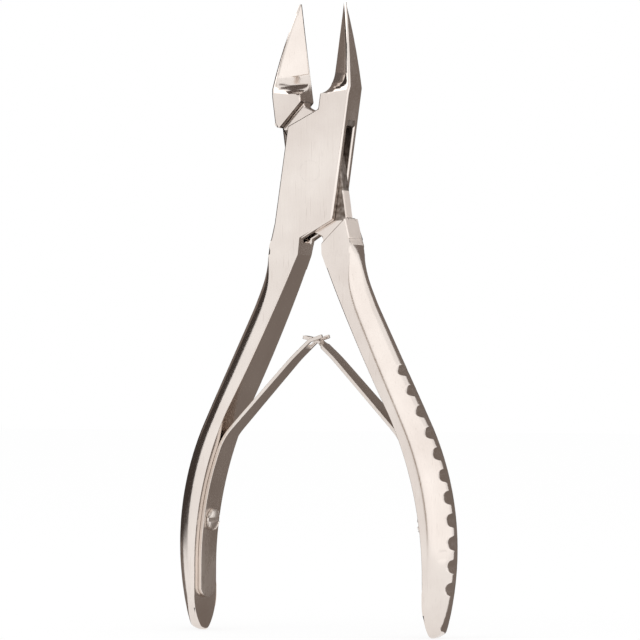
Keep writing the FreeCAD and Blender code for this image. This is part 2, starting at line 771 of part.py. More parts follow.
def check(parts):
    """Stop when any step failed or any piece is not a sound solid."""
    for thing in doc.Objects:
        if "Invalid" in thing.State or "Error" in thing.State:
            raise RuntimeError(f"{thing.Name} failed: {thing.State}")
    for part in parts:
        if part.Shape.isNull() or not part.Shape.isValid():
            raise RuntimeError(f"{part.Label} has no sound shape")


parts = [
    make_right_jaw_half(),
    make_left_jaw_half(),
    make_joint_pin(),
    make_spring_screw("left_spring_screw", -1),
    make_spring_screw("right_spring_screw", 1),
    make_leaf_spring("left_leaf_spring", -1, "fork", "fork_tip_angle", "fork_tip_length"),
    make_leaf_spring("right_leaf_spring", 1, "tongue", "tongue_tip_angle", "tongue_tip_length"),
]
doc.recompute()
check(parts)
os.makedirs("parts", exist_ok=True)
for part in parts:
    part.Shape.exportStep(f"parts/{part.Label}.step")
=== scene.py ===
import math

import bmesh
import bpy
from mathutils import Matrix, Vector


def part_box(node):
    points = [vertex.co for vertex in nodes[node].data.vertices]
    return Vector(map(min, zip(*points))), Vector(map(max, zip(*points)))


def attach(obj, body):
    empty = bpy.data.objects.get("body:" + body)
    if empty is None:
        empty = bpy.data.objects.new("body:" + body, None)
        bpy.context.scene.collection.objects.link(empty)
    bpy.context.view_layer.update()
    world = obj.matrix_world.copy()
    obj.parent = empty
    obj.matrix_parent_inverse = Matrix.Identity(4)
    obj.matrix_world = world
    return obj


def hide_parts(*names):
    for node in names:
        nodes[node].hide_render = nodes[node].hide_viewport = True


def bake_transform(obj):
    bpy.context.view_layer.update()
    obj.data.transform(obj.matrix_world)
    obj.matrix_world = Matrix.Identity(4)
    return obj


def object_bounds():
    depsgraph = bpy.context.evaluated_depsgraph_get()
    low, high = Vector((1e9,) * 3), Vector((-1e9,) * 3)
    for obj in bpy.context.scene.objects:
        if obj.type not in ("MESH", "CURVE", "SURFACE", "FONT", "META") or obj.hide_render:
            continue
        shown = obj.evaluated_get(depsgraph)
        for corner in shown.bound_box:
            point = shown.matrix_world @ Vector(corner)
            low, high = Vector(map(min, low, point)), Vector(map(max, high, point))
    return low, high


# The finish of the bone cutting forceps: polished steel, seen from its right front and a little from
# below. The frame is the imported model's own: X across the tool, Y from front to back, Z up to the tips.

MM = 0.001

# Camera, as the photograph shows the tool: turned to its right and a little below its middle
VIEW_TURN = math.radians(27.0)
VIEW_RISE = math.radians(-1.0)
VIEW_DISTANCE = 750 * MM
PIXELS_PER_MM = 4.35
IMAGE_PIXELS = 640
VIEW_TARGET = Vector((0.904, -3.5, -34.081)) * MM

# Joint and springs, as the frame has them; the joint's middle plane is in millimetres
JOINT_DEPTH_MIDDLE = -3.5
SPRING_LIFT = Vector((24.4, -3.5, -63.9)) * MM
SPRING_TIP = Vector((0, -3.5, -38.5)) * MM
SPRING_CUT = 1.0 * MM
SPRING_TIP_REACH = 5.0 * MM

# Handles, in millimetres and with the jaws closed: the inner face is straight, then an arc, then straight
HALF_OPENING = math.radians(8.0)
SPINE_ANGLE = math.radians(18.0)
SPINE_OFFSET = 5.6
SPINE_STRAIGHT = 58.9
BEND_RADIUS = 83.0
BEND_TURN = math.radians(26.0)
BEND_LENGTH = BEND_RADIUS * BEND_TURN
END_RUN = 14.35
BELLY_START = 18.5
BELLY_DEPTH = 0.46
CREST_OFFSET = 0.33
CREST_STRAIGHT = 64.15
CREST_RADIUS = 65.0
# Sections: run from the joint, width, rise of the crown and reach of the rounded shoulders. The thickness
# is given for the neck's three, and below them the crest's own line sets it.
SECTION_RUNS = (22.0, 28.0, 34.0, 46.0, 58.9, 77.7, 96.6, 104.6, 110.9)
SECTION_WIDTHS = (7.6, 8.4, 9.0, 10.1, 11.0, 11.2, 10.9, 10.8, 10.7)
SECTION_CROWNS = (0.8, 2.3, 2.6, 2.65, 2.7, 3.0, 3.1, 2.9, 1.9)
SECTION_SHOULDERS = (0.1, 0.9, 1.5, 1.8, 1.9, 2.0, 2.0, 1.9, 1.7)
NECK_THICK = (7.4, 6.35, 5.93)
GROOVES = 11
GROOVE_FIRST_RUN = 50.9
GROOVE_PITCH = 5.1
GROOVE_RADIUS = 1.73
GROOVE_FLOOR = 0.79
END_ROUND_HEIGHT = 8.7
END_TIP_RADIUS = 3.2
END_CORNER_RADIUS = 2.2
INNER_BREAK = 0.3
# Rings along a handle and points round its half section, and how much of a narrow side a rounding takes
PLAIN_STEP = 0.9
GROOVE_STEP = 0.22
END_RINGS = 14
BREAK_POINTS = 3
SHOULDER_POINTS = 5
CROWN_POINTS = 6
BREAK_SHARE = 0.3
SHOULDER_SHARE = 0.45

# Edges: how wide the polished edge breaks are, where they stop, and which edges stay sharp
MERGE = 0.002 * MM
FLAT_ANGLE = math.radians(0.2)
EDGE_ANGLE = math.radians(32.0)
SMOOTH_ANGLE = math.radians(38.0)
FORGING_BREAK = 0.4 * MM
BREAKS_DOWN_TO = -18.7 * MM
NECK_TOP = -15.5 * MM
NECK_CREASE = math.radians(9.0)
NECK_SEAM = 0.1 * MM
SPRING_BREAK = 0.12 * MM
SCREW_BREAK = 0.12 * MM
SHORTEST_BROKEN = 0.7 * MM
PIN_CLEAR = 3.2 * MM

# Domed heads of the screws
HEAD_DOME = 0.5 * MM
HEAD_RADIUS = 2.5 * MM
HEAD_CUTS = 0.25 * MM

# Polish: noise scales per metre, the spans of noise that show, and each mark's share of tone and height
STROKE_STRETCH = (9.0, 9.0, 0.35)
STROKE_SCALE = 420.0
STROKE_SHARE = 0.3
STROKE_GLOSS = 0.5
CLOUD_SCALE = 85.0
CLOUD_SPAN = (0.3, 0.7)
CLOUD_SHARE = 0.45
CLOUD_GLOSS = 0.5
WASH_SCALE = 28.0
WASH_SPAN = (0.35, 0.65)
WASH_SHARE = 0.4
HAIR_STRETCH = (14.0, 14.0, 0.5)
HAIR_SCALE = 260.0
HAIR_SPAN = (0.66, 0.7)
HAIR_SHARE = 0.35
PIT_SCALE = 1900.0
PIT_SPAN = (0.30, 0.24)
PIT_SHARE = 0.5
PIT_DEPTH = 0.8
RELIEF_DEPTH = 0.01 * MM

# Painted shade in the joint's slot and along the tongue's seat, dark and mottled, and the satin shoulder
# beside it; NOWHERE is a place outside the part
SEAT_SPAN = (0.12 * MM, 0.08 * MM)
SATIN_DEPTH = 3.15 * MM
JOINT_SHADE_PATCHES = 700.0
JOINT_SHADE_MOTTLE = (0.35, 0.6, 1.0, 0.72)
# the painted shade's colour: dark steel for the slot between the two halves and the line along the seat
JOINT_SHADE_COLOUR = (0.13, 0.1, 0.08)
JOINT_SHADE_ROUGHNESS = 0.3
SATIN_ROUGHNESS = 0.5
NOWHERE = 1.0

# Studio
CLIP_START = 0.01
CLIP_END = 50
FLOOR_REACH = 2.5
FLOOR_WHITE = 0.8
FLOOR_PAINT = (0.96, 0.96, 0.96)
CARD_DISTANCE = 420 * MM
CARD_HEIGHT = 620 * MM
CARD_LIFT = 0.3 * MM
CARD_JOIN = 0.0
BRIGHT_HEIGHT = 240 * MM
GREY = (0.20, 0.17, 0.152)
DARK = (0.055, 0.045, 0.04)

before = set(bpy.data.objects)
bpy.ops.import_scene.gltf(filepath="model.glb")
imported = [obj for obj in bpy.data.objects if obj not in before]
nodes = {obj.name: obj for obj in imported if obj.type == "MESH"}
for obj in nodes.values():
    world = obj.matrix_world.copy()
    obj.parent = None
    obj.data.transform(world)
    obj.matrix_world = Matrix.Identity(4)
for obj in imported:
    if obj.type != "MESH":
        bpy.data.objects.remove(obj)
cad_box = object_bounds()
ground = cad_box[0][2]


def tree_of(block):
    """The emptied node tree of a material or a world."""
    block.use_nodes = True
    block.node_tree.nodes.clear()
    return block.node_tree


def add_node(tree, kind, **settings):
    node = tree.nodes.new(kind)
    for setting, value in settings.items():
        setattr(node, setting, value)
    return node


def set_inputs(node, **values):
    for socket, value in values.items():
        node.inputs[socket.replace("_", " ")].default_value = value


def map_range(tree, source, low, high, to_low, to_high):
    node = add_node(tree, "ShaderNodeMapRange")
    node.inputs["From Min"].default_value = low
    node.inputs["From Max"].default_value = high
    node.inputs["To Min"].default_value = to_low
    node.inputs["To Max"].default_value = to_high
    tree.links.new(source, node.inputs["Value"])
    return node.outputs["Result"]


def combine(tree, operation, first, second):
    node = add_node(tree, "ShaderNodeMath", operation=operation)
    for socket, source in zip(node.inputs, (first, second)):
        if isinstance(source, float):
            socket.default_value = source
        else:
            tree.links.new(source, socket)
    return node.outputs["Value"]


def away(tree, first, second):
    """How far the first value is from the second, either way."""
    node = add_node(tree, "ShaderNodeMath", operation="ABSOLUTE")
    tree.links.new(combine(tree, "SUBTRACT", first, second), node.inputs[0])
    return node.outputs["Value"]


def noise(tree, place, scale, detail, roughness=0.5):
    node = add_node(tree, "ShaderNodeTexNoise")
    set_inputs(node, Scale=scale, Detail=detail, Roughness=roughness)
    tree.links.new(place, node.inputs["Vector"])
    return node.outputs["Fac"]


def stretched(tree, place, scale):
    node = add_node(tree, "ShaderNodeMapping")
    node.inputs["Scale"].default_value = scale
    tree.links.new(place, node.inputs["Vector"])
    return node.outputs["Vector"]


def make_polish_group():
    """Hand polishing: fine strokes one way, cloudy tone, and small pits and scratches."""
    group = bpy.data.node_groups.new("hand_polish", "ShaderNodeTree")
    face = group.interface
    face.new_socket("Place", in_out="INPUT", socket_type="NodeSocketVector")
    face.new_socket("Strokes", in_out="INPUT", socket_type="NodeSocketFloat")
    for name in ("Tone", "Gloss", "Height"):
        face.new_socket(name, in_out="OUTPUT", socket_type="NodeSocketFloat")
    entry = add_node(group, "NodeGroupInput")
    leave = add_node(group, "NodeGroupOutput")
    place = entry.outputs["Place"]
    fine = noise(group, stretched(group, place, STROKE_STRETCH), STROKE_SCALE, detail=3.0)
    cloud = noise(group, place, CLOUD_SCALE, detail=3.0, roughness=0.55)
    wash = noise(group, place, WASH_SCALE, detail=2.0)
    hairs = noise(group, stretched(group, place, HAIR_STRETCH), HAIR_SCALE, detail=2.0)
    pits = noise(group, place, PIT_SCALE, detail=2.0, roughness=0.6)
    hair_mask = map_range(group, hairs, *HAIR_SPAN, 0.0, 1.0)
    pit_mask = map_range(group, pits, *PIT_SPAN, 0.0, 1.0)
    soft = map_range(group, cloud, *CLOUD_SPAN, 0.0, 1.0)
    broad = map_range(group, wash, *WASH_SPAN, 0.0, 1.0)
    tone = combine(group, "ADD", combine(group, "MULTIPLY", soft, CLOUD_SHARE),
                   combine(group, "MULTIPLY", broad, WASH_SHARE))
    lines = combine(group, "MULTIPLY", fine, entry.outputs["Strokes"])
    tone = combine(group, "ADD", tone, combine(group, "MULTIPLY", lines, STROKE_SHARE))
    marks = combine(group, "ADD", combine(group, "MULTIPLY", pit_mask, PIT_SHARE),
                    combine(group, "MULTIPLY", hair_mask, HAIR_SHARE))
    tone = combine(group, "MAXIMUM", combine(group, "SUBTRACT", tone, marks), 0.0)
    gloss = combine(group, "ADD", combine(group, "MULTIPLY", soft, CLOUD_GLOSS),
                    combine(group, "MULTIPLY", lines, STROKE_GLOSS))
    height = combine(group, "SUBTRACT", lines, combine(group, "MULTIPLY", pit_mask, PIT_DEPTH))
    group.links.new(tone, leave.inputs["Tone"])
    group.links.new(gloss, leave.inputs["Gloss"])
    group.links.new(height, leave.inputs["Height"])
    return group


def make_joint_shade_group():
    """Masks for the painted shade in the joint, a band in the slot and a line along a seat, and for the
    satin shoulder beside it.
    """
    group = bpy.data.node_groups.new("joint_painted_shade", "ShaderNodeTree")
    face = group.interface
    face.new_socket("Place", in_out="INPUT", socket_type="NodeSocketVector")
    face.new_socket("Seat", in_out="INPUT", socket_type="NodeSocketVector")
    for name in ("Low", "High", "Half Depth", "Seat Reach", "Clean Depth", "Clean Below",
                 "Satin Low", "Satin Beyond"):
        face.new_socket(name, in_out="INPUT", socket_type="NodeSocketFloat")
    for name in ("Mask", "Satin"):
        face.new_socket(name, in_out="OUTPUT", socket_type="NodeSocketFloat")
    entry = add_node(group, "NodeGroupInput")
    leave = add_node(group, "NodeGroupOutput")
    parts = add_node(group, "ShaderNodeSeparateXYZ")
    group.links.new(entry.outputs["Place"], parts.inputs["Vector"])
    depth = away(group, parts.outputs["Y"], JOINT_DEPTH_MIDDLE * MM)
    inside = combine(group, "LESS_THAN", depth, entry.outputs["Half Depth"])
    along = add_node(group, "ShaderNodeVectorMath", operation="DOT_PRODUCT")
    group.links.new(entry.outputs["Place"], along.inputs[0])
    group.links.new(entry.outputs["Seat"], along.inputs[1])
    off_seat = away(group, along.outputs["Value"], entry.outputs["Seat Reach"])
    on_seat = map_range(group, off_seat, *SEAT_SPAN, 0.0, 1.0)
    above = combine(group, "GREATER_THAN", parts.outputs["Z"], entry.outputs["Low"])
    below = combine(group, "LESS_THAN", parts.outputs["Z"], entry.outputs["High"])
    band = combine(group, "MULTIPLY", inside, combine(group, "MULTIPLY", above, below))
    lower = combine(group, "LESS_THAN", parts.outputs["Z"], entry.outputs["Clean Below"])
    core = combine(group, "LESS_THAN", depth, entry.outputs["Clean Depth"])
    band = combine(group, "MULTIPLY", band,
                   combine(group, "SUBTRACT", 1.0, combine(group, "MULTIPLY", lower, core)))
    band = combine(group, "MAXIMUM", band, on_seat)
    beyond = combine(group, "GREATER_THAN", parts.outputs["X"], entry.outputs["Satin Beyond"])
    over = combine(group, "GREATER_THAN", parts.outputs["Z"], entry.outputs["Satin Low"])
    satin = combine(group, "MULTIPLY", combine(group, "MULTIPLY", beyond, over), lower)
    satin = combine(group, "MULTIPLY", satin, combine(group, "SUBTRACT", 1.0, band))
    on_side = combine(group, "LESS_THAN", depth, SATIN_DEPTH)
    satin = combine(group, "MULTIPLY", satin, on_side)
    group.links.new(satin, leave.inputs["Satin"])
    # these patches mottle the painted shade
    patches = noise(group, entry.outputs["Place"], JOINT_SHADE_PATCHES, detail=4.0, roughness=0.6)
    shade_mottle = map_range(group, patches, *JOINT_SHADE_MOTTLE)
    group.links.new(combine(group, "MULTIPLY", band, shade_mottle), leave.inputs["Mask"])
    return group


def steel_material(name, polish, dark, light, rough, strokes, relief, scale=None):
    """Polished steel between two tones and two roughnesses; scale, if given, is the group that paints
    shade into the joint, with its inputs.
    """
    material = bpy.data.materials.new(name)
    tree = tree_of(material)
    place = add_node(tree, "ShaderNodeTexCoord").outputs["Object"]
    surface = add_node(tree, "ShaderNodeGroup", node_tree=polish)
    surface.inputs["Strokes"].default_value = strokes
    tree.links.new(place, surface.inputs["Place"])
    colour = add_node(tree, "ShaderNodeMix", data_type="RGBA")
    colour.inputs["A"].default_value = (*dark, 1)
    colour.inputs["B"].default_value = (*light, 1)
    tree.links.new(surface.outputs["Tone"], colour.inputs[0])
    bump = add_node(tree, "ShaderNodeBump")
    set_inputs(bump, Strength=relief, Distance=RELIEF_DEPTH)
    tree.links.new(surface.outputs["Height"], bump.inputs["Height"])
    shader = add_node(tree, "ShaderNodeBsdfPrincipled")
    shader.inputs["Metallic"].default_value = 1
    roughness = map_range(tree, surface.outputs["Gloss"], 0.0, 1.0, *rough)
    finish = colour.outputs["Result"]
    if scale:
        shade_group, settings = scale
        masks = add_node(tree, "ShaderNodeGroup", node_tree=shade_group)
        for socket, value in settings.items():
            masks.inputs[socket].default_value = value
        tree.links.new(place, masks.inputs["Place"])
        # painted shade: the steel turns dark in the joint's slot and along its seat
        painted_shade_mix = add_node(tree, "ShaderNodeMix", data_type="RGBA")
        painted_shade_mix.inputs["B"].default_value = (*JOINT_SHADE_COLOUR, 1)
        tree.links.new(masks.outputs["Mask"], painted_shade_mix.inputs[0])
        tree.links.new(finish, painted_shade_mix.inputs["A"])
        finish = painted_shade_mix.outputs["Result"]
        for mask, extra in (("Mask", JOINT_SHADE_ROUGHNESS), ("Satin", SATIN_ROUGHNESS)):
            roughness = combine(tree, "ADD", roughness,
                                combine(tree, "MULTIPLY", masks.outputs[mask], extra))
    tree.links.new(finish, shader.inputs["Base Color"])
    tree.links.new(roughness, shader.inputs["Roughness"])
    tree.links.new(bump.outputs["Normal"], shader.inputs["Normal"])
    output = add_node(tree, "ShaderNodeOutputMaterial")
    tree.links.new(shader.outputs["BSDF"], output.inputs["Surface"])
    return material


def merged(node_name):
    """A copy of a node's mesh with its doubles merged and its flat faces joined."""
    form = bmesh.new()
    form.from_mesh(nodes[node_name].data)
    bmesh.ops.remove_doubles(form, verts=form.verts, dist=MERGE)
    bmesh.ops.dissolve_limit(form, angle_limit=FLAT_ANGLE, verts=form.verts, edges=form.edges)
    return form


def sharp_edges(form):
    return [edge for edge in form.edges
            if len(edge.link_faces) == 2 and edge.calc_face_angle() > EDGE_ANGLE]


def is_forging_edge(edge):
    """Whether an edge gets a break: not a short one, nor one round the pin or below the joint."""
    return (edge.calc_length() > SHORTEST_BROKEN
            and max(math.hypot(vert.co.x, vert.co.z) for vert in edge.verts) > PIN_CLEAR
            and min(vert.co.z for vert in edge.verts) > BREAKS_DOWN_TO)


def break_edges(form, width, sharp):
    """Polished breaks along sharp edges."""
    bmesh.ops.bevel(form, geom=sharp, offset=width, offset_type="OFFSET", affect="EDGES", segments=2,
                    profile=0.5, material=-1, clamp_overlap=False)


def dome_head(form, middle, axis):
    """Round the flat end of a screw's head, with its slot, as a shallow dome."""
    across = axis.cross(Vector((0, 1, 0))).normalized()
    top = max((vert.co - middle).dot(axis) for vert in form.verts)
    for normal in (across, Vector((0, 1, 0))):
        start = middle - normal * HEAD_RADIUS
        cut_across(form, start, normal * HEAD_CUTS, int(2 * HEAD_RADIUS / HEAD_CUTS) + 1, normal)
    for vert in form.verts:
        from_middle = vert.co - middle
        height = from_middle.dot(axis)
        off = (from_middle - axis * height).length
        if top - height < HEAD_DOME and off < HEAD_RADIUS:
            share = 1 - (top - height) / HEAD_DOME
            vert.co -= axis * HEAD_DOME * share * (off / HEAD_RADIUS) ** 2


def cut_across(form, start, step, count, normal):
    """More rows of vertices, cut by evenly spaced planes."""
    for turn in range(count):
        bmesh.ops.bisect_plane(form, geom=form.verts[:] + form.edges[:] + form.faces[:], dist=MERGE,
                               plane_co=start + step * turn, plane_no=normal)


def finish_piece(form, name, material, crease=SMOOTH_ANGLE, below=0.0, down_to=0.0):
    """The piece in smooth shading; between the heights below and down_to, edges over crease stay sharp."""
    form.edges.index_update()
    kept_sharp = {edge.index for edge in form.edges
                  if all(down_to < vert.co.z < below for vert in edge.verts)
                  and len(edge.link_faces) == 2 and edge.calc_face_angle() > crease}
    mesh = bpy.data.meshes.new(name)
    for face in form.faces:
        face.smooth = True
    form.to_mesh(mesh)
    form.free()
    mesh.set_sharp_from_angle(angle=SMOOTH_ANGLE)
    for edge in mesh.edges:
        if edge.index in kept_sharp:
            edge.use_edge_sharp = True
    mesh.materials.append(material)
    piece = bpy.data.objects.new(name, mesh)
    bpy.context.scene.collection.objects.link(piece)
    even = piece.modifiers.new("even_shading", "WEIGHTED_NORMAL")
    even.keep_sharp = True
    return piece


def between(runs, values, run):
    """A smooth curve through the values at the runs."""
    last = len(runs) - 1
    place = sum(run >= mark for mark in runs[1:-1])
    span = runs[place + 1] - runs[place]
    share = max(0.0, min(1.0, (run - runs[place]) / span))

    def slope(index):
        low, high = max(index - 1, 0), min(index + 1, last)
        return (values[high] - values[low]) / (runs[high] - runs[low]) * span

    start, end = values[place], values[place + 1]
    rise = end - start
    return (start + slope(place) * share + (3 * rise - 2 * slope(place) - slope(place + 1)) * share ** 2
            + (slope(place) + slope(place + 1) - 2 * rise) * share ** 3)


def spine_place(run):
    """The inner face at a run from the joint: its place in X and Z, and its outward lean."""
    cos, sin = math.cos(SPINE_ANGLE), math.sin(SPINE_ANGLE)
    if run <= SPINE_STRAIGHT:
        return -SPINE_OFFSET * cos + run * sin, -SPINE_OFFSET * sin - run * cos, SPINE_ANGLE
    centre_x = -(SPINE_OFFSET + BEND_RADIUS) * cos + SPINE_STRAIGHT * sin
    centre_z = -(SPINE_OFFSET + BEND_RADIUS) * sin - SPINE_STRAIGHT * cos
    turned = min((run - SPINE_STRAIGHT) / BEND_RADIUS, BEND_TURN)
    lean = SPINE_ANGLE - turned
    beyond = max(run - SPINE_STRAIGHT - BEND_LENGTH, 0)
    return (centre_x + BEND_RADIUS * math.cos(lean) + beyond * math.sin(lean),
            centre_z + BEND_RADIUS * math.sin(lean) - beyond * math.cos(lean), lean)


def crest_height(run):
    """How far the crest lies outward from the inner face."""
    if run <= SECTION_RUNS[2]:
        return between(SECTION_RUNS[:3], NECK_THICK, run)
    x, z, lean = spine_place(run)
    cos, sin = math.cos(SPINE_ANGLE), math.sin(SPINE_ANGLE)
    reach = (CREST_OFFSET - x * cos - z * sin) / math.cos(SPINE_ANGLE - lean)
    if x * sin - z * cos + reach * math.sin(SPINE_ANGLE - lean) < CREST_STRAIGHT:
        return reach
    centre_x = (CREST_OFFSET - CREST_RADIUS) * cos + CREST_STRAIGHT * sin
    centre_z = (CREST_OFFSET - CREST_RADIUS) * sin - CREST_STRAIGHT * cos
    across = (centre_x - x) * math.cos(lean) + (centre_z - z) * math.sin(lean)
    along = (centre_x - x) * math.sin(lean) - (centre_z - z) * math.cos(lean)
    return across + math.sqrt(CREST_RADIUS ** 2 - along ** 2)


def opened(side, x, depth, z):
    """A place in the opened tool, in metres, from where it is in millimetres with the jaws closed."""
    cos, sin = math.cos(HALF_OPENING), math.sin(HALF_OPENING)
    return Vector((side * (x * cos - z * sin), depth, x * sin + z * cos)) * MM


def groove_height(run, crest):
    """How far out the steel reaches in a groove; on the crest between grooves that is the crest."""
    for count in range(GROOVES):
        middle = GROOVE_FIRST_RUN + count * GROOVE_PITCH
        # on the bend the inner face's arc is shorter than the crest's, and so are the grooves' runs on it
        if middle > CREST_STRAIGHT:
            middle = CREST_STRAIGHT + (middle - CREST_STRAIGHT) * BEND_RADIUS / (BEND_RADIUS + crest)
        off = abs(run - middle)
        if off < GROOVE_RADIUS:
            floor = crest - GROOVE_FLOOR + GROOVE_RADIUS - math.sqrt(GROOVE_RADIUS ** 2 - off ** 2)
            return min(crest, floor)
    return crest


def end_half_width(left):
    """Half the width that the rounded end leaves, at a height above the end's tip."""
    half = SECTION_WIDTHS[-3] / 2
    rise = END_ROUND_HEIGHT - END_TIP_RADIUS
    side = (half ** 2 - END_TIP_RADIUS ** 2 + rise ** 2) / (2 * (half - END_TIP_RADIUS))
    if left >= END_ROUND_HEIGHT:
        return 2 * half
    share = END_TIP_RADIUS / (side - END_TIP_RADIUS)
    if left > END_ROUND_HEIGHT - rise * (1 + share):
        return math.sqrt(side ** 2 - (END_ROUND_HEIGHT - left) ** 2) - (side - half)
    return math.sqrt(max(END_TIP_RADIUS ** 2 - (END_TIP_RADIUS - left) ** 2, 0))


def rounded_corner(before, corner, after, reach, steps):
    """Points on a corner's rounding, from the side that comes before it to the side after it."""
    start = corner + (before - corner).normalized() * min(reach, (before - corner).length)
    end = corner + (after - corner).normalized() * min(reach, (after - corner).length)
    return [start.lerp(corner, step / steps).lerp(corner.lerp(end, step / steps), step / steps)
            for step in range(steps + 1)]


def section_half(run, run_end):
    """Half of a handle's section, as points (out, depth) from the inner face to the crest's middle."""
    crest = crest_height(run)
    width = between(SECTION_RUNS, SECTION_WIDTHS, run) / 2
    crown = between(SECTION_RUNS, SECTION_CROWNS, run)
    bow = (width ** 2 + crown ** 2) / (2 * crown)
    left = run_end - run
    side = min(width, end_half_width(left))

    def crown_out(depth):
        return crest - bow + math.sqrt(max(bow ** 2 - depth ** 2, 0))

    top = groove_height(run, crest)
    if left < END_CORNER_RADIUS:
        top = min(top, crest - END_CORNER_RADIUS
                  + math.sqrt(END_CORNER_RADIUS ** 2 - (END_CORNER_RADIUS - left) ** 2))
    corner = Vector((min(crown_out(side), top), side))
    top_depth = min(math.sqrt(max(bow ** 2 - (top - crest + bow) ** 2, 0)), side)
    reach = min(between(SECTION_RUNS, SECTION_SHOULDERS, run), side * SHOULDER_SHARE)
    meet = side - reach
    after = Vector((min(crown_out(meet), top), meet))
    points = [Vector((0, 0))]
    inner_break = min(INNER_BREAK, side * BREAK_SHARE)
    points += rounded_corner(Vector((0, 0)), Vector((0, side)), corner, inner_break, BREAK_POINTS)
    points += rounded_corner(Vector((0, side)), corner, after, reach, SHOULDER_POINTS)
    reached = min(meet, top_depth)
    for step in range(1, CROWN_POINTS + 1):
        depth = meet + (reached - meet) * step / CROWN_POINTS
        points.append(Vector((min(crown_out(depth), top), depth)))
    points.append(Vector((top, reached / 2)))
    points.append(Vector((top, 0)))
    return points


def handle_runs(run_end):
    """The runs of a handle's rings: close together at the grooves and at the rounded end."""
    runs = [SECTION_RUNS[0]]
    first = GROOVE_FIRST_RUN - GROOVE_PITCH / 2
    last = GROOVE_FIRST_RUN + (GROOVES - 0.5) * GROOVE_PITCH
    while runs[-1] < run_end - PLAIN_STEP:
        fine = first < runs[-1] < last
        runs.append(runs[-1] + (GROOVE_STEP if fine else PLAIN_STEP))
    low = run_end - END_TIP_RADIUS
    runs = [run for run in runs if run < low]
    return runs + [low + END_TIP_RADIUS * math.sin(math.pi / 2 * step / END_RINGS)
                   for step in range(END_RINGS + 1)]


def sweep_handle(form, side):
    """The handle, swept ring by ring from its neck to its end, in the opened tool."""
    run_end = SPINE_STRAIGHT + BEND_LENGTH + END_RUN
    rings = []
    for run in handle_runs(run_end):
        x, z, lean = spine_place(run)
        belly = max((run - BELLY_START) * (SPINE_STRAIGHT - run), 0) * 4 * BELLY_DEPTH
        belly /= (SPINE_STRAIGHT - BELLY_START) ** 2
        half = section_half(run, run_end)
        whole = half + [Vector((point.x, -point.y)) for point in half[-2:0:-1]]
        places = []
        for out, depth in whole:
            out = out - belly * max(1 - out / crest_height(run), 0)
            places.append(opened(side, x + out * math.cos(lean), JOINT_DEPTH_MIDDLE - depth,
                                 z + out * math.sin(lean)))
        rings.append(places)
    ring = [form.verts.new(place) for place in rings[0]]
    edges = [form.edges.new((ring[turn - 1], ring[turn])) for turn in range(len(ring))]
    for places in rings[1:]:
        grown = bmesh.ops.extrude_edge_only(form, edges=edges)["geom"]
        fresh = [part for part in grown if isinstance(part, bmesh.types.BMVert)]
        edges = [part for part in grown if isinstance(part, bmesh.types.BMEdge)]
        edges = [edge for edge in edges if all(vert in fresh for vert in edge.verts)]
        order = {vert: index for index, vert in enumerate(ring)}
        following = [None] * len(ring)
        for vert in fresh:
            ends = (edge.other_vert(vert) for edge in vert.link_edges)
            parent = next(end for end in ends if end in order)
            following[order[parent]] = vert
        for vert, place in zip(following, places):
            vert.co = place
        ring = following


def make_half(node_name, name, body, side, material):
    """One forging: jaw, joint and neck as the solid has them, and its handle swept below the neck."""
    form = merged(node_name)
    break_edges(form, FORGING_BREAK, [edge for edge in sharp_edges(form) if is_forging_edge(edge)])
    x, z, lean = spine_place(SECTION_RUNS[0])
    neck = opened(side, x, JOINT_DEPTH_MIDDLE, z)
    down = Vector((side * math.sin(lean + HALF_OPENING), 0, -math.cos(lean + HALF_OPENING)))
    bmesh.ops.bisect_plane(form, geom=form.verts[:] + form.edges[:] + form.faces[:], dist=MERGE,
                           plane_co=neck, plane_no=down, clear_outer=True)
    bmesh.ops.holes_fill(form, edges=[edge for edge in form.edges if edge.is_boundary])
    swept = bmesh.new()
    sweep_handle(swept, side)
    bmesh.ops.remove_doubles(swept, verts=swept.verts, dist=MERGE)
    bmesh.ops.holes_fill(swept, edges=[edge for edge in swept.edges if edge.is_boundary])
    bmesh.ops.recalc_face_normals(swept, faces=swept.faces)
    handle = bpy.data.meshes.new("swept_handle")
    swept.to_mesh(handle)
    swept.free()
    form.from_mesh(handle)
    bpy.data.meshes.remove(handle)
    piece = finish_piece(form, name, material, NECK_CREASE, NECK_TOP, neck.z - NECK_SEAM)
    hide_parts(node_name)
    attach(piece, body)


def make_pin(node_name, name, body, material):
    """The pin, whose ends are polished over, so that its edges get no breaks."""
    piece = finish_piece(merged(node_name), name, material)
    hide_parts(node_name)
    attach(piece, body)


def make_spring(node_name, name, material):
    """A leaf spring shaped to lie along its holder's handle and then run to the other one's tip, with rows
    cut between where it lifts off and its tip.
    """
    form = merged(node_name)
    break_edges(form, SPRING_BREAK, sharp_edges(form))
    rows = int((SPRING_TIP.z - SPRING_LIFT.z) / SPRING_CUT)
    cut_across(form, Vector((0, 0, SPRING_LIFT.z)), Vector((0, 0, SPRING_CUT)), rows, Vector((0, 0, 1)))
    tip_rows = int(2 * SPRING_TIP_REACH / SPRING_CUT)
    cut_across(form, Vector((-SPRING_TIP_REACH, 0, 0)), Vector((SPRING_CUT, 0, 0)), tip_rows,
               Vector((1, 0, 0)))
    piece = finish_piece(form, name, material)
    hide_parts(node_name)
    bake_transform(piece)


def make_screw(node_name, name, body, material):
    """A slotted screw with a domed head, which is the end with the largest face."""
    form = merged(node_name)
    low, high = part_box(node_name)
    middle = (Vector(low) + Vector(high)) / 2
    widest = max(form.faces, key=lambda face: face.calc_area())
    axis = widest.normal.copy()
    if axis.x * middle.x > 0:
        axis = -axis
    shift = (widest.calc_center_median() - middle).dot(axis)
    rim = [vert.co for vert in form.verts if abs((vert.co - middle).dot(axis) - shift) < MERGE]
    centre = sum(rim, Vector()) / len(rim)
    dome_head(form, centre, axis)
    break_edges(form, SCREW_BREAK, sharp_edges(form))
    piece = finish_piece(form, name, material)
    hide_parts(node_name)
    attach(piece, body)


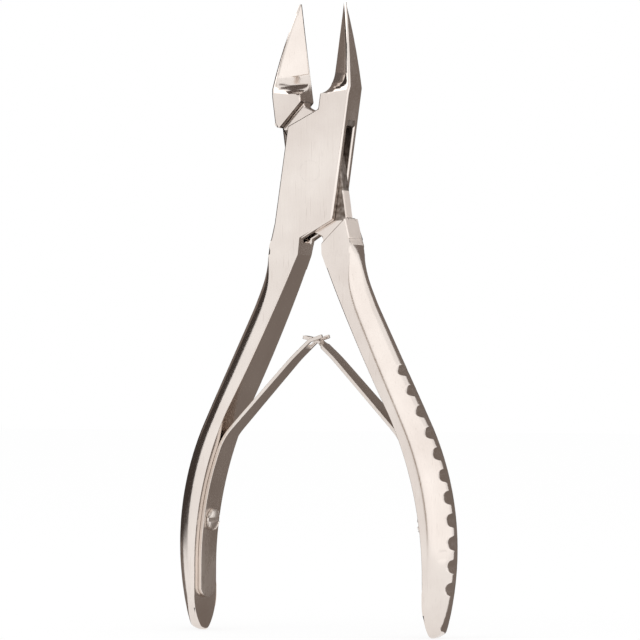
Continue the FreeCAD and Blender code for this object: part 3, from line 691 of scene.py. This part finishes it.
def make_camera():
    data = bpy.data.cameras.new("view")
    camera = bpy.data.objects.new("view", data)
    bpy.context.scene.collection.objects.link(camera)
    ahead = Vector((-math.sin(VIEW_TURN) * math.cos(VIEW_RISE), math.cos(VIEW_TURN) * math.cos(VIEW_RISE),
                    -math.sin(VIEW_RISE)))
    camera.location = VIEW_TARGET - ahead * VIEW_DISTANCE
    camera.rotation_euler = ahead.to_track_quat("-Z", "Y").to_euler()
    half_picture = IMAGE_PIXELS / 2 / PIXELS_PER_MM * MM
    data.sensor_fit = "HORIZONTAL"
    data.angle = 2 * math.atan(half_picture / VIEW_DISTANCE)
    data.clip_start = CLIP_START
    data.clip_end = CLIP_END
    bpy.context.scene.camera = camera


def seen_directly(tree):
    """1 for what the camera sees, directly or in a mirroring surface, and 0 for light on a surface."""
    rays = add_node(tree, "ShaderNodeLightPath").outputs
    return combine(tree, "MAXIMUM", combine(tree, "MAXIMUM", rays["Is Camera Ray"], rays["Is Glossy Ray"]),
                   rays["Is Transmission Ray"])


def make_world():
    """A white room that gives a soft even light."""
    world = bpy.data.worlds.new("white_room")
    bpy.context.scene.world = world
    tree = tree_of(world)
    white = add_node(tree, "ShaderNodeBackground")
    set_inputs(white, Color=(1, 1, 1, 1), Strength=1.0)
    output = add_node(tree, "ShaderNodeOutputWorld")
    tree.links.new(white.outputs["Background"], output.inputs["Surface"])


def flat_panel(name, width, height, material):
    """A flat panel that lies level at the origin and only dresses the studio."""
    form = bmesh.new()
    bmesh.ops.create_grid(form, x_segments=1, y_segments=1, size=0.5)
    bmesh.ops.scale(form, vec=(width, height, 1), verts=form.verts)
    mesh = bpy.data.meshes.new(name)
    form.to_mesh(mesh)
    form.free()
    mesh.materials.append(material)
    panel = bpy.data.objects.new(name, mesh)
    bpy.context.scene.collection.objects.link(panel)
    return panel


def make_floor():
    """A pale floor under the handles' ends; it shows white and keeps the tool's soft shadow."""
    material = bpy.data.materials.new("floor_paint")
    tree = tree_of(material)
    paint = add_node(tree, "ShaderNodeBsdfDiffuse")
    paint.inputs["Color"].default_value = (*FLOOR_PAINT, 1)
    white = add_node(tree, "ShaderNodeEmission")
    set_inputs(white, Color=(1, 1, 1, 1), Strength=1.0)
    choice = add_node(tree, "ShaderNodeMixShader")
    share = combine(tree, "MULTIPLY", seen_directly(tree), FLOOR_WHITE)
    tree.links.new(share, choice.inputs["Fac"])
    tree.links.new(paint.outputs["BSDF"], choice.inputs[1])
    tree.links.new(white.outputs["Emission"], choice.inputs[2])
    output = add_node(tree, "ShaderNodeOutputMaterial")
    tree.links.new(choice.outputs["Shader"], output.inputs["Surface"])
    floor = flat_panel("floor", 2 * FLOOR_REACH, 2 * FLOOR_REACH, material)
    floor.location.z = ground


def card_material(name, colour):
    material = bpy.data.materials.new(name)
    tree = tree_of(material)
    glow = add_node(tree, "ShaderNodeEmission")
    set_inputs(glow, Color=(*colour, 1), Strength=1.0)
    output = add_node(tree, "ShaderNodeOutputMaterial")
    tree.links.new(glow.outputs["Emission"], output.inputs["Surface"])
    return material


def show_in_mirrors_only(card):
    for ray in ("camera", "diffuse", "transmission", "volume_scatter", "shadow"):
        setattr(card, f"visible_{ray}", False)


def make_card(name, start_angle, end_angle, colour, foot, height):
    """A standing card that only the tool's polished faces mirror, from one bearing to another."""
    ends = [Vector((math.cos(math.radians(bearing)), math.sin(math.radians(bearing)), 0)) * CARD_DISTANCE
            for bearing in (start_angle, end_angle)]
    along = ends[1] - ends[0]
    card = flat_panel(name, along.length, height, card_material(name, colour))
    card.rotation_euler = (math.radians(90), 0, math.atan2(along.y, along.x))
    card.location = (ends[0] + ends[1]) / 2 + Vector((0, 0, foot + height / 2))
    show_in_mirrors_only(card)


def make_floor_card(name, middle, size, turn, colour):
    """A grey card that lies on the floor behind the tool, for the faces that lean down."""
    card = flat_panel(name, *size, card_material(name, colour))
    card.location = (*middle, ground + CARD_LIFT)
    card.rotation_euler.z = math.radians(turn)
    show_in_mirrors_only(card)
    return card


def make_ceiling_card(name, middle, size, height, colour):
    """A card over the tool, for the hollow grinds that look up."""
    card = make_floor_card(name, middle, size, 0, colour)
    card.location.z = height


def make_softbox(name, place, size, power):
    data = bpy.data.lights.new(name, "AREA")
    data.shape = "SQUARE"
    data.size = size
    data.energy = power
    lamp = bpy.data.objects.new(name, data)
    bpy.context.scene.collection.objects.link(lamp)
    lamp.location = place
    lamp.rotation_euler = (VIEW_TARGET - place).to_track_quat("-Z", "Y").to_euler()


bpy.context.scene.view_settings.view_transform = "Standard"
make_camera()
make_world()
make_floor()
make_card("rear_card", 54, 116, GREY, ground, CARD_HEIGHT)
make_card("low_side_card", 116, 165, DARK, ground, CARD_JOIN - ground)
make_card("high_side_card", 116, 165, (0.2, 0.165, 0.145), CARD_JOIN, CARD_HEIGHT)
make_card("far_side_card", 165, 217, DARK, ground, CARD_HEIGHT)
make_card("edge_card", 264, 271, (0.38, 0.32, 0.27), ground, CARD_HEIGHT)
make_card("bright_card", 275, 400, (1.2, 1.2, 1.2), ground, BRIGHT_HEIGHT)
make_floor_card("rear_floor_card", (0.0212, 0.3164), (0.5, 0.4), 54, GREY)
make_floor_card("side_floor_card", (-0.21, 0.2065), (0.42, 0.42), 0, GREY)
make_ceiling_card("ceiling_card", (0, -0.03), (0.5, 0.26), 0.45, (0.12, 0.1, 0.09))
make_softbox("high_softbox", Vector((-0.45, -0.55, 0.75)), 0.55, 0.95)
make_softbox("low_softbox", Vector((0.5, -0.75, 0.15)), 0.35, 0.5)

polish = make_polish_group()
joint_painted_shade = make_joint_shade_group()
# the box has no painted dark line along a seat and no satin shoulder, so those lie nowhere on it
box_painted_shade = {"Low": -12.4 * MM, "High": 11.6 * MM, "Half Depth": 1.8 * MM, "Seat Reach": NOWHERE,
             "Clean Below": -NOWHERE, "Satin Beyond": NOWHERE}
# the tongue gets painted shade in the slot and a painted dark line along its seat
tongue_painted_shade = {"Low": -11.4 * MM, "High": 9.8 * MM, "Half Depth": 1.8 * MM,
                "Clean Depth": 1.65 * MM, "Clean Below": -4.5 * MM,
                "Satin Low": -17.0 * MM, "Satin Beyond": 7.6 * MM,
                "Seat": (0.727, 0, -0.687), "Seat Reach": -12.77 * MM}
forged = {"dark": (0.69, 0.61, 0.56), "light": (0.88, 0.81, 0.755), "rough": (0.1, 0.22),
          "strokes": 0.8, "relief": 0.5}
boxed_steel = steel_material("boxed_steel", polish, **forged, scale=(joint_painted_shade, box_painted_shade))
tongued_steel = steel_material("tongued_steel", polish, **forged, scale=(joint_painted_shade, tongue_painted_shade))
spring_steel = steel_material("spring_steel", polish, dark=(0.66, 0.59, 0.54), light=(0.86, 0.79, 0.735),
                              rough=(0.2, 0.36), strokes=1.0, relief=0.6)
screw_steel = steel_material("screw_steel", polish, dark=(0.74, 0.67, 0.62), light=(0.92, 0.86, 0.81),
                             rough=(0.3, 0.42), strokes=0.6, relief=0.35)

make_half("right_jaw_half", "boxed_half", "right_jaw_lever", -1, boxed_steel)
make_half("left_jaw_half", "tongued_half", "left_jaw_lever", 1, tongued_steel)
make_pin("joint_pin", "flush_pin", "right_jaw_lever", boxed_steel)
make_spring("left_leaf_spring", "forked_spring", spring_steel)
make_spring("right_leaf_spring", "tongued_spring", spring_steel)
make_screw("left_spring_screw", "left_cheese_head", "right_jaw_lever", screw_steel)
make_screw("right_spring_screw", "right_cheese_head", "left_jaw_lever", screw_steel)
